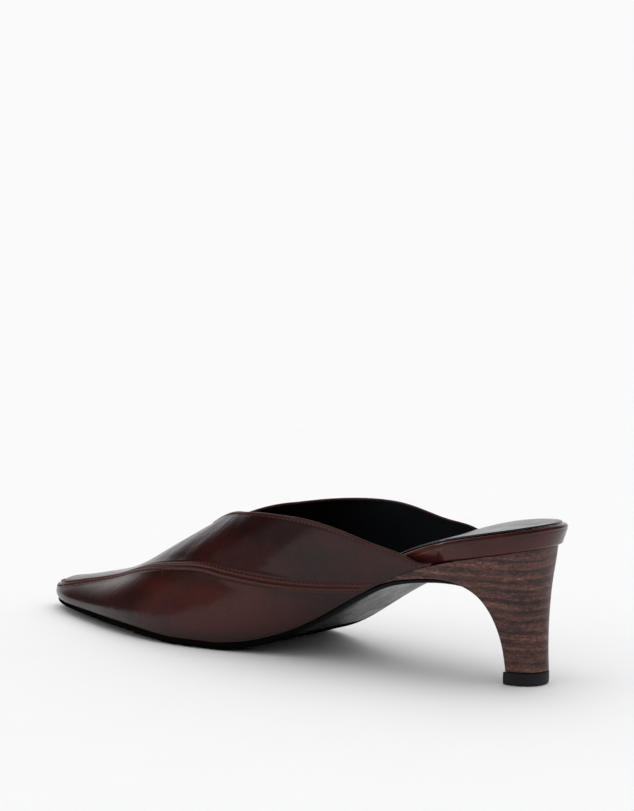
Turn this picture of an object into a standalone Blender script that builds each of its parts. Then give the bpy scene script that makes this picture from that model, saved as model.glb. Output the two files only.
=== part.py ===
"""Heeled mule, the left shoe of a pair, in metres.

+X points to the toe, +Y to the wearer's left (the outer side), +Z up. The origin is on the floor
under the middle of the shoe. Each piece is worked out from one last: an outline, a feather line
(where upper and sole meet) and a wall that rises from it to a ridge.
"""

import bmesh
import bpy
import numpy as np

# Driving dimensions, in metres
LENGTH = 0.250
BALL_WIDTH = 0.073
HEEL_HEIGHT = 0.053
CONE_HEIGHT = 0.065
UPPER_WALL = 0.0018
SEAM_BAND = 0.0038
SEAM_RISE = 0.0005
SEAM_TOE_FADE = 0.04
SOLE_THICKNESS = 0.0027
TOE_SKIVE = 0.0010
FLAP_THICKNESS = 0.0016
SOLE_BEVEL = 0.0009
RIM_HEIGHT = 0.0077
RIM_LEAN = 0.0019
RIM_ROUND = 0.0016
SEAT_TILT = 0.0019
INSOLE_THICKNESS = 0.0030
SOCK_THICKNESS = 0.0007
SOCK_MARGIN = 0.0022
HEEL_SETBACK = 0.0042
HEEL_HOLLOW = 0.0010
HEEL_TIP_HEIGHT = 0.0049
HEEL_TIP_WIDTH = 0.0200
TIP_OVERHANG = 0.0002
TIP_LEAD = 0.0006
NOSE_DEPTH = 0.016
NOSE_REACH = 0.050
TOE_OVERHANG = 0.0021
FIT_GAP = 0.0003
TREAD_PRESS = 0.0004

# Shares of LENGTH from the back of the heel: where the rim stops leaning out, between which the
# footbed thins from the rim's height to the insole's, between which its inner side starts and
# stops standing higher, between which the sole thickens from the flap, where it lies square to the
# floor from, where it starts to thin towards the toe, how far behind the upper's tail the footbed
# starts to move in, and where the footbed and the sock end inside the toe
LEAN_END = 0.30
BOARD_THINS = (0.22, 0.52)
TILT_STARTS = (0.01, 0.16)
TILT_ENDS = (0.25, 0.50)
SOLE_THICKENS = (0.36, 0.56)
SOLE_LEVEL = 0.51
SKIVE_START = 0.72
TUCK = 0.02
FOOTBED_END = 0.975
SOCK_END = 0.96
TOE_THINNING = 0.25

# Smallest step between two rows of the upper's grid, as a share of the way up the wall
ROW_STEP = 0.004

# The last, by its share of LENGTH from the back of the heel. outer and inner are half-widths of
# the feather line in shares of BALL_WIDTH, lift is the feather line's height over the tread in
# shares of HEEL_HEIGHT, crown the ridge's height over the feather line in shares of CONE_HEIGHT,
# swell how far the wall leans out low down in shares of BALL_WIDTH, and shoulder how wide it
# stays near the ridge, as a share of the half-width
LAST = {
    "along": (0.00, 0.10, 0.20, 0.30, 0.40, 0.50, 0.60, 0.70, 0.80, 0.90, 1.00),
    "outer": (0.350, 0.352, 0.334, 0.310, 0.325, 0.410, 0.485, 0.482, 0.392, 0.255, 0.108),
    "inner": (0.350, 0.345, 0.305, 0.238, 0.300, 0.430, 0.490, 0.498, 0.412, 0.262, 0.112),
    "lift": (1.000, 0.900, 0.752, 0.504, 0.216, 0.040, 0.000, 0.034, 0.052, 0.054, 0.050),
    "crown": (0.40, 0.54, 0.74, 0.92, 1.00, 0.92, 0.742, 0.500, 0.280, 0.177, 0.085),
    "swell": (0.00, 0.01, 0.05, 0.12, 0.12, 0.07, 0.055, 0.050, 0.042, 0.036, 0.064),
    "shoulder": (0.80, 0.85, 1.10, 1.30, 1.25, 0.92, 0.66, 0.62, 0.62, 0.64, 0.66),
}
HEEL_ROUND = 0.11
TOE_ROUND = 0.90
TOE_ROUNDNESS = 2.6
WALL_RISE = 0.42

# The upper's top edge, as the share of the way from feather line to ridge, by share of LENGTH
TAIL = 0.155
THROAT = 0.665
TOPLINE = {
    "along": (0.155, 0.18, 0.20, 0.25, 0.30, 0.35, 0.40, 0.45, 0.50, 0.55, 0.60, 0.64, 0.665),
    "outer": (0.012, 0.028, 0.078, 0.185, 0.29, 0.39, 0.48, 0.565, 0.655, 0.75, 0.85, 0.93, 1.0),
    "inner": (0.02, 0.07, 0.14, 0.243, 0.335, 0.427, 0.507, 0.585, 0.668, 0.755, 0.85, 0.93, 1.0),
}

# The seam's middle, as the share of the way from feather line to ridge, by share of LENGTH
SEAM_END = 0.26
SEAM_DIVE = 1.3
SEAM = {
    "along": (0.26, 0.34, 0.42, 0.50, 0.60, 0.70, 0.80, 0.90, 1.00),
    "rise": (-0.02, 0.10, 0.21, 0.315, 0.44, 0.545, 0.66, 0.62, 0.42),
}
SEAM_ROWS = ((-1.25, 0.0), (-0.75, 1.0), (0.0, 0.35), (0.75, 1.0), (1.25, 0.0))

# Outer face of the sole from the heel's tip up its breast and round the arch: shares of LENGTH
# from the back of the heel and of HEEL_HEIGHT over the floor
ARCH = {
    "along": (0.062, 0.064, 0.068, 0.075, 0.085, 0.099, 0.120, 0.150, 0.190, 0.230),
    "rise": (0.10, 0.20, 0.32, 0.44, 0.55, 0.63, 0.676, 0.69, 0.672, 0.636),
}
ARCH_JOINS = (0.275, 0.290, 0.310, 0.340, 0.380)
WEDGE_END = 0.262

# Width of the heel as a share of its seat, by its share of the way up from the tip
HEEL_TAPER = {
    "up": (0.0, 0.12, 0.27, 0.41, 0.55, 0.66, 0.74, 0.80, 0.89, 1.0),
    "width": (0.0, 0.04, 0.11, 0.21, 0.35, 0.48, 0.61, 0.73, 0.89, 1.0),
}

# Colour, roughness and metallic value of each piece
FINISH = {
    "upper": ((0.075, 0.020, 0.016), 0.28, 0.0),
    "footbed": ((0.085, 0.024, 0.020), 0.32, 0.0),
    "sock": ((0.018, 0.019, 0.021), 0.45, 0.0),
    "outsole": ((0.010, 0.011, 0.012), 0.40, 0.0),
    "heel": ((0.080, 0.038, 0.026), 0.45, 0.0),
    "heel_tip": ((0.012, 0.013, 0.014), 0.55, 0.0),
}


def smooth_through(knots, values):
    """A natural cubic spline through the given points, as a function."""
    knots, values = np.asarray(knots, float), np.asarray(values, float)
    steps = np.diff(knots)
    slopes = np.diff(values) / steps
    count = len(knots)
    system = np.eye(count)
    right = np.zeros(count)
    for i in range(1, count - 1):
        system[i, i - 1 : i + 2] = steps[i - 1], 2 * (steps[i - 1] + steps[i]), steps[i]
        right[i] = 6 * (slopes[i] - slopes[i - 1])
    bends = np.linalg.solve(system, right)

    def at(where):
        where = np.asarray(where, float)
        i = np.clip(np.searchsorted(knots, where) - 1, 0, count - 2)
        step, ahead, behind = steps[i], knots[i + 1] - where, where - knots[i]
        return (
            (bends[i] * ahead**3 + bends[i + 1] * behind**3) / (6 * step)
            + (values[i] / step - bends[i] * step / 6) * ahead
            + (values[i + 1] / step - bends[i + 1] * step / 6) * behind
        )

    return at


def column(table, name, scale=1.0):
    first = next(iter(table))
    return smooth_through(table[first], np.array(table[name]) * scale)


OUTER = column(LAST, "outer", BALL_WIDTH)
INNER = column(LAST, "inner", BALL_WIDTH)
LIFT = column(LAST, "lift", HEEL_HEIGHT - SOLE_THICKNESS - FIT_GAP)
CROWN = column(LAST, "crown", CONE_HEIGHT)
SWELL = column(LAST, "swell", BALL_WIDTH)
SHOULDER = column(LAST, "shoulder")
SEAM_RUN = column(SEAM, "rise")
TAPER = column(HEEL_TAPER, "width")
TOP_OUTER = column(TOPLINE, "outer")
TOP_INNER = column(TOPLINE, "inner")


def ease(share):
    share = np.clip(share, 0.0, 1.0)
    return share * share * (3 - 2 * share)


def place(share):
    """World x of a share of the length."""
    return (np.asarray(share, float) - 0.5) * LENGTH


def share_of(x):
    """Share of the length at world x."""
    return x / LENGTH + 0.5


def half_width(share, side):
    """Half-width of the feather line on the outer (+1) or inner (-1) side, closed at both ends."""
    share = np.asarray(share, float)
    width = OUTER(share) if side > 0 else INNER(share)
    back = np.clip((HEEL_ROUND - share) / HEEL_ROUND, 0.0, 1.0)
    front = np.clip((share - TOE_ROUND) / (1 - TOE_ROUND), 0.0, 1.0)
    return width * np.sqrt(1 - back**2) * np.sqrt(1 - front**TOE_ROUNDNESS)


def tread(share):
    """Height of the sole's underside, flat on the floor under the ball."""
    return np.maximum(LIFT(share) - TREAD_PRESS, 0.0)


def edge_thickness(share):
    """Thickness of the sole ahead of the shank, thinner towards the toe."""
    return SOLE_THICKNESS - TOE_SKIVE * ease((share - SKIVE_START) / (1 - SKIVE_START))


def feather(share):
    """Height of the line where upper and footbed meet the sole."""
    return tread(share) + edge_thickness(share) + FIT_GAP


def edge_x(share):
    """World x of the feather line, which stops short of the nose by the toe's overhang."""
    return place(share) - TOE_OVERHANG * np.clip((share - TOE_ROUND) / (1 - TOE_ROUND), 0.0, 1.0) ** 2


def outline(share, side, inset=0.0):
    """Plan points of the feather line, moved in by the given distance."""
    share = np.asarray(share, float)
    step = 1e-6
    low, high = np.maximum(share - step, 0.0), np.minimum(share + step, 1.0)
    run = edge_x(high) - edge_x(low)
    turn = side * (half_width(high, side) - half_width(low, side))
    length = np.hypot(run, turn)
    x = edge_x(share) + side * inset * turn / length
    y = side * half_width(share, side) - side * inset * run / length
    return x, y


def ridge_share(share):
    """Where the ridge point of a wall section lies: the ridge stops short of the toe's tip."""
    start, stop = 1 - NOSE_REACH / LENGTH, 1 - NOSE_DEPTH / LENGTH
    lead = (1 - start) / (stop - start)
    power = lead / (lead - 1)
    run = np.clip((share - start) / (1 - start), 0.0, 1.0)
    ahead = start + (stop - start) * (lead * run - (lead - 1) * run**power)
    return np.where(share < start, share, ahead)


def wall(share, rise, side):
    """The upper's outside: a curve from the feather line (rise 0) up and over to the ridge (1)."""
    share, rise = np.broadcast_arrays(np.asarray(share, float), np.asarray(rise, float))
    x, y = outline(share, side)
    foot = np.stack([x, y, feather(share)], -1)
    out = np.stack(outline(share, side, -1.0), -1) - foot[..., :2]
    crown = CROWN(ridge_share(share))
    ridge_z = feather(ridge_share(share)) + crown
    ridge = np.stack([place(ridge_share(share)), np.zeros_like(x), ridge_z], -1)
    low = foot.copy()
    low[..., :2] += out * SWELL(share)[..., None]
    low[..., 2] += WALL_RISE * crown
    high = ridge.copy()
    high[..., :2] += (foot - ridge)[..., :2] * SHOULDER(share)[..., None]
    t = rise[..., None]
    lower = (1 - t) ** 3 * foot + 3 * (1 - t) ** 2 * t * low
    return lower + 3 * (1 - t) * t**2 * high + t**3 * ridge


def topline(share, side):
    """How far up the wall reaches, from the tail to the throat, and the whole way ahead of it."""
    rise = (TOP_OUTER if side > 0 else TOP_INNER)(np.clip(share, TAIL, THROAT))
    return np.where(share >= THROAT, 1.0, np.clip(rise, 0.0, 1.0))


def wall_height(share, side):
    """Length of the wall's curve from the feather line to the ridge."""
    steps = np.linspace(0.0, 1.0, 25)
    points = wall(np.asarray(share, float)[:, None], steps[None, :], side)
    return np.linalg.norm(np.diff(points, axis=1), axis=-1).sum(1)


def finish(name):
    colour, roughness, metallic = FINISH[name]
    material = bpy.data.materials.new(name)
    material.use_nodes = True
    shader = material.node_tree.nodes["Principled BSDF"]
    shader.inputs["Base Color"].default_value = (*colour, 1.0)
    shader.inputs["Roughness"].default_value = roughness
    shader.inputs["Metallic"].default_value = metallic
    return material


def make_piece(name, points, faces, sharp_degrees=40):
    """One closed solid from points and faces, with its faces turned out and its round parts smooth."""
    mesh = bpy.data.meshes.new(name)
    mesh.from_pydata([tuple(map(float, point)) for point in points], [], faces)
    work = bmesh.new()
    work.from_mesh(mesh)
    bmesh.ops.recalc_face_normals(work, faces=work.faces)
    if work.calc_volume(signed=True) < 0:
        bmesh.ops.reverse_faces(work, faces=work.faces)
    work.to_mesh(mesh)
    work.free()
    mesh.shade_smooth()
    mesh.set_sharp_from_angle(angle=np.radians(sharp_degrees))
    mesh.materials.append(finish(name))
    piece = bpy.data.objects.new(name, mesh)
    bpy.context.scene.collection.objects.link(piece)
    return piece


def loft(name, loops, sharp_degrees=40):
    """A solid through closed loops of equal count, capped by strips between mirrored points."""
    loops = np.asarray(loops, float)
    rows, count = loops.shape[:2]
    faces = []
    for i in range(rows - 1):
        for j in range(count):
            k = (j + 1) % count
            faces.append((i * count + j, i * count + k, (i + 1) * count + k, (i + 1) * count + j))
    for base in (0, (rows - 1) * count):
        for j in range(count // 2 - 1):
            faces.append((base + j, base + j + 1, base + count - 2 - j, base + count - 1 - j))
    return make_piece(name, loops.reshape(-1, 3), faces, sharp_degrees)


def back_shares(stop, count):
    """Shares that crowd towards the round back of the heel, then run evenly to stop."""
    round_part = HEEL_ROUND * np.linspace(0.01, 1.0, count // 3) ** 2
    return np.concatenate([round_part, np.linspace(HEEL_ROUND, stop, count - count // 3 + 1)[1:]])


def toe_shares(start, count, stop=0.9999):
    """Shares that run evenly from start, then crowd towards the tip of the toe."""
    crowd = count // 4
    tip = TOE_ROUND + (stop - TOE_ROUND) * (1 - np.linspace(1.0, 0.0, crowd) ** 2)
    return np.concatenate([np.linspace(start, TOE_ROUND, count - crowd + 1)[:-1], tip])


def wall_rows(shares, side, top):
    """Rises of the grid's rows, with the seam's two raised edges and its valley among them."""
    band = SEAM_BAND / 2 / wall_height(shares, side)
    past_end = np.maximum(SEAM_END - shares, 0.0)
    middle = SEAM_RUN(np.maximum(shares, SEAM_END)) - SEAM_DIVE * past_end
    low, high = (middle + SEAM_ROWS[end][0] * band for end in (0, -1))
    rows = [part * np.maximum(low, 0.0) for part in (0.0, 0.33, 0.67)]
    lifts = [0.0 * shares] * len(rows)
    for part, height in SEAM_ROWS:
        rows.append(middle + part * band)
        lifts.append(height * ease(rows[-1] / band) * ease((1.0 - shares) / SEAM_TOE_FADE))
    high = np.maximum(high, 0.0)
    for part in (0.2, 0.4, 0.6, 0.8, 1.0):
        rows.append(high + part * (top - high))
        lifts.append(0.0 * shares)
    least = np.minimum(ROW_STEP, 0.8 * top / len(rows))[:, None]
    order = np.arange(len(rows))
    rows = np.clip(np.array(rows).T, least * order, top[:, None] - least * order[::-1])
    return rows, np.array(lifts).T


def build_upper():
    """The hollow shell: an outside grid, the same grid moved in by the wall, and its edges."""
    behind = TAIL + (THROAT - TAIL) * np.sin(np.linspace(0.0, np.pi / 2, 21))
    ahead = toe_shares(THROAT, 17, 1.0)[1:]
    shares = np.concatenate([behind, ahead])
    sides = []
    for side in (1, -1):
        top = topline(shares, side)
        rows, lifts = wall_rows(shares, side, top)
        sides.append((wall(shares[:, None], rows, side), lifts))
    count, height = sides[0][0].shape[:2]
    first_closed = len(behind) - 1
    # Index grids of the outer and inner side, which share the tip's column and the ridge's row
    near = np.arange(count * height).reshape(count, height)
    far = near + count * height
    far[-1] = near[-1]
    far[first_closed:, -1] = near[first_closed:, -1]
    points = np.concatenate([sides[0][0].reshape(-1, 3), sides[1][0].reshape(-1, 3)])
    lift = np.concatenate([sides[0][1].ravel(), sides[1][1].ravel()])
    quads = []
    for grid, turned in ((near, False), (far, True)):
        for i in range(count - 1):
            for j in range(height - 1):
                quad = (grid[i, j], grid[i, j + 1], grid[i + 1, j + 1], grid[i + 1, j])
                quads.append(quad[::-1] if turned else quad)
    quads = np.array(quads)
    normals = np.zeros_like(points)
    across = np.cross(
        points[quads[:, 2]] - points[quads[:, 0]], points[quads[:, 3]] - points[quads[:, 1]]
    )
    for corner in range(4):
        np.add.at(normals, quads[:, corner], across)
    middle_line = points * np.array([1.0, 0.0, 0.0])
    outward = np.sign(((points - middle_line) * normals).sum(1).sum())
    normals *= outward
    bottom = np.concatenate([near[:, 0], far[:, 0]])
    normals[bottom, 2] = 0.0
    normals /= np.maximum(np.linalg.norm(normals, axis=1, keepdims=True), 1e-12)
    outside = points + normals * (lift * SEAM_RISE)[:, None]
    inside = points - normals * UPPER_WALL
    total = len(points)
    faces = [tuple(quad) for quad in quads]
    faces += [tuple(quad[::-1] + total) for quad in quads]
    rims = []
    for grid in (near, far):
        rims.append(grid[:, 0])
        rims.append(grid[: first_closed + 1, -1])
        rims.append(grid[0, :])
    for line in rims:
        for a, b in zip(line[:-1], line[1:]):
            faces.append((a, b, b + total, a + total))
    used = np.unique(np.concatenate([np.array(face) for face in faces]))
    renumber = np.zeros(2 * total, int)
    renumber[used] = np.arange(len(used))
    faces = [tuple(int(renumber[i]) for i in face) for face in faces]
    return make_piece("upper", np.concatenate([outside, inside])[used], faces)


def between(share, ends):
    """Eases from 0 to 1 between two shares of the length."""
    return ease((share - ends[0]) / (ends[1] - ends[0]))


def board_height(share, side):
    """Thickness of the footbed over the feather line, rim included: the inner side is higher."""
    height = RIM_HEIGHT + (INSOLE_THICKNESS - RIM_HEIGHT) * between(share, BOARD_THINS)
    if side < 0:
        height += SEAT_TILT * between(share, TILT_STARTS) * (1 - between(share, TILT_ENDS))
    return height * (1 - TOE_THINNING * between(share, (TOE_ROUND, 1.0)))


def build_footbed():
    """The wrapped insole board: a leaning, rounded rim at the heel, a thin board inside the upper."""
    rear, tucked = TAIL - TUCK, TAIL - 0.2 * TUCK
    shares = np.concatenate([back_shares(rear, 24), toe_shares(tucked, 30, FOOTBED_END)])
    inset = between(shares, (rear, TAIL - 0.3 * TUCK)) * (UPPER_WALL + 2 * FIT_GAP)
    shaped = 1 - 0.6 * between(shares, BOARD_THINS)
    # Each corner of the section: its distance in from the outline, and its share of the way up
    section = (
        (RIM_LEAN + 0.6 * RIM_ROUND, 0.0),
        (RIM_LEAN, 0.08),
        (0.1 * RIM_LEAN, 0.72),
        (0.35 * RIM_ROUND, 0.90),
        (RIM_ROUND, 1.0),
    )
    loops = []
    for side in (1, -1):
        line = []
        for pull, up in section:
            x, y = outline(shares, side, inset + pull * shaped)
            height = board_height(shares, side)
            line.append(np.stack([x, y, feather(share_of(x)) + up * height], -1))
        loops.append(np.stack(line, 1))
    return loft("footbed", np.concatenate([loops[0], loops[1][:, ::-1]], 1))


def build_sock():
    """The thin lining sheet that lies on the footbed."""
    shares = np.concatenate([back_shares(TAIL, 24), toe_shares(TAIL + TUCK, 26, SOCK_END)])
    inset = SOCK_MARGIN + between(shares, (TAIL - TUCK, TAIL)) * UPPER_WALL
    loops = []
    for side in (1, -1):
        line = []
        for pull, rise in ((0.0, FIT_GAP), (0.3, FIT_GAP + SOCK_THICKNESS)):
            x, y = outline(shares, side, inset + pull * SOCK_THICKNESS)
            top = feather(share_of(x)) + board_height(share_of(x), side)
            line.append(np.stack([x, y, top + rise], -1))
        loops.append(np.stack(line, 1))
    return loft("sock", np.concatenate([loops[0], loops[1][:, ::-1]], 1))


def arch_curve():
    """Outer face of the sole as x and z, from the heel's tip to the joining station."""
    joins = np.array(ARCH_JOINS)
    join_z = sole_underside(joins)
    x = np.concatenate([place(ARCH["along"]), place(joins)])
    z = np.concatenate([np.array(ARCH["rise"]) * HEEL_HEIGHT, join_z])
    run = np.concatenate([[0.0], np.cumsum(np.hypot(np.diff(x), np.diff(z)))])
    return smooth_through(run, x), smooth_through(run, z), run


def sole_thickness(share):
    return FLAP_THICKNESS + (edge_thickness(share) - FLAP_THICKNESS) * between(share, SOLE_THICKENS)


def sole_underside(share):
    """Height of the sole's outer face: its thickness is square to the feather line's slope."""
    step = 1e-5
    slope = (feather(share + step) - feather(share - step)) / (2 * step * LENGTH)
    return feather(share) - FIT_GAP - sole_thickness(share) * np.hypot(1.0, slope)


def heel_back(up):
    """World x of the heel's back, slightly hollow between the tip and the seat."""
    return place(0.0) + HEEL_SETBACK + HEEL_HOLLOW * 4 * up * (1 - up)


def heel_width(x, up, side):
    """Half-width of the heel at x on the ring that is a given share of the way up."""
    narrow = HEEL_TIP_WIDTH / 2 / float(half_width(HEEL_ROUND, 1))
    scale = narrow + (1 - narrow) * TAPER(up)
    share = np.clip((x - heel_back(up)) / scale / LENGTH, 0.0, 1.0)
    inset = RIM_LEAN * (1 - between(share, (0.0, LEAN_END))) * between(share, (0.0, HEEL_ROUND))
    return scale * (half_width(share, side) - inset)


def way_up(x, z):
    """Share of the way from the heel's tip to the seat above it."""
    share = share_of(x)
    floor = HEEL_TIP_HEIGHT + FIT_GAP
    return np.clip((z - floor) / (feather(share) - FIT_GAP - floor), 0.0, 1.0)


def build_outsole():
    """The sole: toe, ball and shank, then round the arch and down the heel's breast."""
    curve_x, curve_z, run = arch_curve()
    stations = np.linspace(0.0, run[-2], 34)
    x, z = curve_x(stations), curve_z(stations)
    start = share_of(x[-1])
    shares = toe_shares(start, 40)[1:]
    x = np.concatenate([x, place(shares)])
    z = np.concatenate([z, sole_underside(shares)])
    share = share_of(x)
    z = np.maximum(z, 0.0)
    slope_x, slope_z = np.gradient(x), np.gradient(z)
    length = np.hypot(slope_x, slope_z)
    normal = np.stack([-slope_z / length, slope_x / length], -1)
    normal[share > SOLE_LEVEL] = (0.0, 1.0)
    forward = between(share, (WEDGE_END, ARCH_JOINS[2]))
    thick = sole_thickness(share)
    loops = []
    for side in (1, -1):
        line = []
        for pull, depth in ((0.0, 1.0), (0.0, 0.55), (SOLE_BEVEL, 0.0)):
            plan_x, plan_y = outline(share, side, pull)
            heel_y = side * (heel_width(x, way_up(x, z), side) - pull / 2)
            px = np.where(share > TOE_ROUND, plan_x, x) + normal[:, 0] * thick * depth
            py = forward * plan_y + (1 - forward) * heel_y
            pz = z + normal[:, 1] * thick * depth
            line.append(np.stack([px, py, pz], -1))
        loops.append(np.stack(line, 1))
    return loft("outsole", np.concatenate([loops[0], loops[1][:, ::-1]], 1))


def heel_front():
    """The heel's own breast and wedge line: the sole's arch moved in by its thickness and a gap."""
    curve_x, curve_z, run = arch_curve()
    stations = np.linspace(0.0, run[-1], 200)
    x, z = curve_x(stations), curve_z(stations)
    slope_x, slope_z = np.gradient(x), np.gradient(z)
    length = np.hypot(slope_x, slope_z)
    depth = FLAP_THICKNESS + FIT_GAP
    return x - slope_z / length * depth, z + slope_x / length * depth


def build_heel():
    """Rings from the tip to the seat: each stops at the breast and follows the seat's shape."""
    front_x, front_z = heel_front()
    up = way_up(front_x, front_z)
    kept = (front_x < place(WEDGE_END)) & (np.maximum.accumulate(up) <= up + 1e-9)
    front_x, up = front_x[kept], up[kept]
    run = np.linspace(0, len(up) - 1, 27).astype(int)
    levels = np.concatenate([[0.0], up[run[1:]], [1.0]])
    floor = HEEL_TIP_HEIGHT + FIT_GAP
    around = np.linspace(0.03, 1.0, 15)
    loops = []
    for level in levels:
        reach = np.interp(level, up, front_x) if level < 1 else place(WEDGE_END)
        x = heel_back(level) + (reach - heel_back(level)) * around**2
        ring = []
        for side in (1, -1):
            y = side * heel_width(x, level, side)
            z = floor + level * (feather(share_of(x)) - FIT_GAP - floor)
            ring.append(np.stack([x, y, z], -1))
        loops.append(np.concatenate([ring[0], ring[1][::-1]]))
    return loft("heel", loops)


def build_heel_tip():
    """The rubber top piece under the heel, flush with the sole's flap in front."""
    curve_x, curve_z, run = arch_curve()
    front = float(curve_x(0.0)) + TIP_LEAD
    back = heel_back(0.0)
    around = np.linspace(0.03, 1.0, 15)
    loops = []
    for z in (0.0, HEEL_TIP_HEIGHT):
        x = back + (front - back) * around**2
        ring = []
        for side in (1, -1):
            y = side * (heel_width(x, 0.0, side) + TIP_OVERHANG)
            ring.append(np.stack([x, y, np.full_like(x, z)], -1))
        loops.append(np.concatenate([ring[0], ring[1][::-1]]))
    return loft("heel_tip", loops)


def main():
    for old in list(bpy.data.objects):
        bpy.data.objects.remove(old, do_unlink=True)
    build_upper()
    build_footbed()
    build_sock()
    build_outsole()
    build_heel()
    build_heel_tip()


main()
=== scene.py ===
"""Looks of the heeled mule: glossy brushed leather, stitched seams, stacked-look heel, soft studio."""

import bmesh
import bpy
import numpy as np
from mathutils import Matrix, Vector


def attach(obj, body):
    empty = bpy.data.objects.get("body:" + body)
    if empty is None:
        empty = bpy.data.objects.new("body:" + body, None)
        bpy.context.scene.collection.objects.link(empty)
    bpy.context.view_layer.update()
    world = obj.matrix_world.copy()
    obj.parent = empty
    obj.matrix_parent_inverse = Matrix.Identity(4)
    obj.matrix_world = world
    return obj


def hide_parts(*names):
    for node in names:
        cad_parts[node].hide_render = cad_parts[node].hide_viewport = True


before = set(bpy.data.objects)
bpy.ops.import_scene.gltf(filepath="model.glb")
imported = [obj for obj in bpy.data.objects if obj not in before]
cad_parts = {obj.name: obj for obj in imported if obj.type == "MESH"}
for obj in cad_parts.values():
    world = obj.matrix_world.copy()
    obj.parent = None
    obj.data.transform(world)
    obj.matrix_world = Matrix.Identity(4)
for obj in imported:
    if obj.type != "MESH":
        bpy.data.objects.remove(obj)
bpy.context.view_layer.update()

# The last, as in the part: sizes in metres and tables of shares of them
LENGTH = 0.250
BALL_WIDTH = 0.073
HEEL_HEIGHT = 0.053
CONE_HEIGHT = 0.065
UPPER_WALL = 0.0018
SOLE_THICKNESS = 0.0027
TOE_SKIVE = 0.0010
FLAP_THICKNESS = 0.0016
RIM_HEIGHT = 0.0077
RIM_LEAN = 0.0019
SEAT_TILT = 0.0019
INSOLE_THICKNESS = 0.0030
HEEL_SETBACK = 0.0042
HEEL_HOLLOW = 0.0010
HEEL_TIP_HEIGHT = 0.0049
HEEL_TIP_WIDTH = 0.0200
TIP_LEAD = 0.0006
NOSE_DEPTH = 0.016
NOSE_REACH = 0.050
TOE_OVERHANG = 0.0021
FIT_GAP = 0.0003
TREAD_PRESS = 0.0004
LEAN_END = 0.30
BOARD_THINS = (0.22, 0.52)
TILT_STARTS = (0.01, 0.16)
TILT_ENDS = (0.25, 0.50)
SOLE_THICKENS = (0.36, 0.56)
SOLE_LEVEL = 0.51
SKIVE_START = 0.72
TUCK = 0.02
FOOTBED_END = 0.975
TOE_THINNING = 0.25
LAST = {
    "along": (0.00, 0.10, 0.20, 0.30, 0.40, 0.50, 0.60, 0.70, 0.80, 0.90, 1.00),
    "outer": (0.350, 0.352, 0.334, 0.310, 0.325, 0.410, 0.485, 0.482, 0.392, 0.255, 0.108),
    "inner": (0.350, 0.345, 0.305, 0.238, 0.300, 0.430, 0.490, 0.498, 0.412, 0.262, 0.112),
    "lift": (1.000, 0.900, 0.752, 0.504, 0.216, 0.040, 0.000, 0.034, 0.052, 0.054, 0.050),
    "crown": (0.40, 0.54, 0.74, 0.92, 1.00, 0.92, 0.742, 0.500, 0.280, 0.177, 0.085),
    "swell": (0.00, 0.01, 0.05, 0.12, 0.12, 0.07, 0.055, 0.050, 0.042, 0.036, 0.064),
    "shoulder": (0.80, 0.85, 1.10, 1.30, 1.25, 0.92, 0.66, 0.62, 0.62, 0.64, 0.66),
}
HEEL_ROUND = 0.11
TOE_ROUND = 0.90
TOE_ROUNDNESS = 2.6
WALL_RISE = 0.42
TAIL = 0.155
THROAT = 0.665
TOPLINE = {
    "along": (0.155, 0.18, 0.20, 0.25, 0.30, 0.35, 0.40, 0.45, 0.50, 0.55, 0.60, 0.64, 0.665),
    "outer": (0.012, 0.028, 0.078, 0.185, 0.29, 0.39, 0.48, 0.565, 0.655, 0.75, 0.85, 0.93, 1.0),
    "inner": (0.02, 0.07, 0.14, 0.243, 0.335, 0.427, 0.507, 0.585, 0.668, 0.755, 0.85, 0.93, 1.0),
}
SEAM_END = 0.26
SEAM_DIVE = 1.3
SEAM = {
    "along": (0.26, 0.34, 0.42, 0.50, 0.60, 0.70, 0.80, 0.90, 1.00),
    "rise": (-0.02, 0.10, 0.21, 0.315, 0.44, 0.545, 0.66, 0.62, 0.42),
}
ARCH = {
    "along": (0.062, 0.064, 0.068, 0.075, 0.085, 0.099, 0.120, 0.150, 0.190, 0.230),
    "rise": (0.10, 0.20, 0.32, 0.44, 0.55, 0.63, 0.676, 0.69, 0.672, 0.636),
}
ARCH_JOINS = (0.275, 0.290, 0.310, 0.340, 0.380)
WEDGE_END = 0.262
HEEL_TAPER = {
    "up": (0.0, 0.12, 0.27, 0.41, 0.55, 0.66, 0.74, 0.80, 0.89, 1.0),
    "width": (0.0, 0.04, 0.11, 0.21, 0.35, 0.48, 0.61, 0.73, 0.89, 1.0),
}

# The seam's profile: distances from its middle and heights over the leather, in metres
SEAM_PROFILE = {
    "across": (-0.0030, -0.0024, -0.0018, -0.0013, -0.0006, 0.0, 0.0006, 0.0013, 0.0018, 0.0024, 0.0030),
    "height": (0.0, 0.00008, 0.0, 0.00032, 0.00034, -0.00014, 0.00036, 0.00034, 0.0, 0.00008, 0.0),
}

# Stitches: their row, size and lean; the profile holds place, thickness and height along one stitch,
# as shares of half its length and of its radius
STITCH_ROW = 0.00172
STITCH_PITCH = 0.0020
STITCH_LENGTH = 0.00130
STITCH_RADIUS = 0.00028
STITCH_LIFT = 0.00008
STITCH_CLEAR = 0.0008
STITCH_PROFILE = (
    (-1.0, 0.25, -1.1),
    (-0.82, 0.75, -0.55),
    (-0.4, 1.0, -0.05),
    (0.0, 1.0, 0.0),
    (0.4, 1.0, -0.05),
    (0.82, 0.75, -0.55),
    (1.0, 0.25, -1.1),
)
SEAM_LEAN = 0.35
TOP_ROW_LEAN = 0.12
TOP_ROW_LEAD = 0.012

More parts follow.
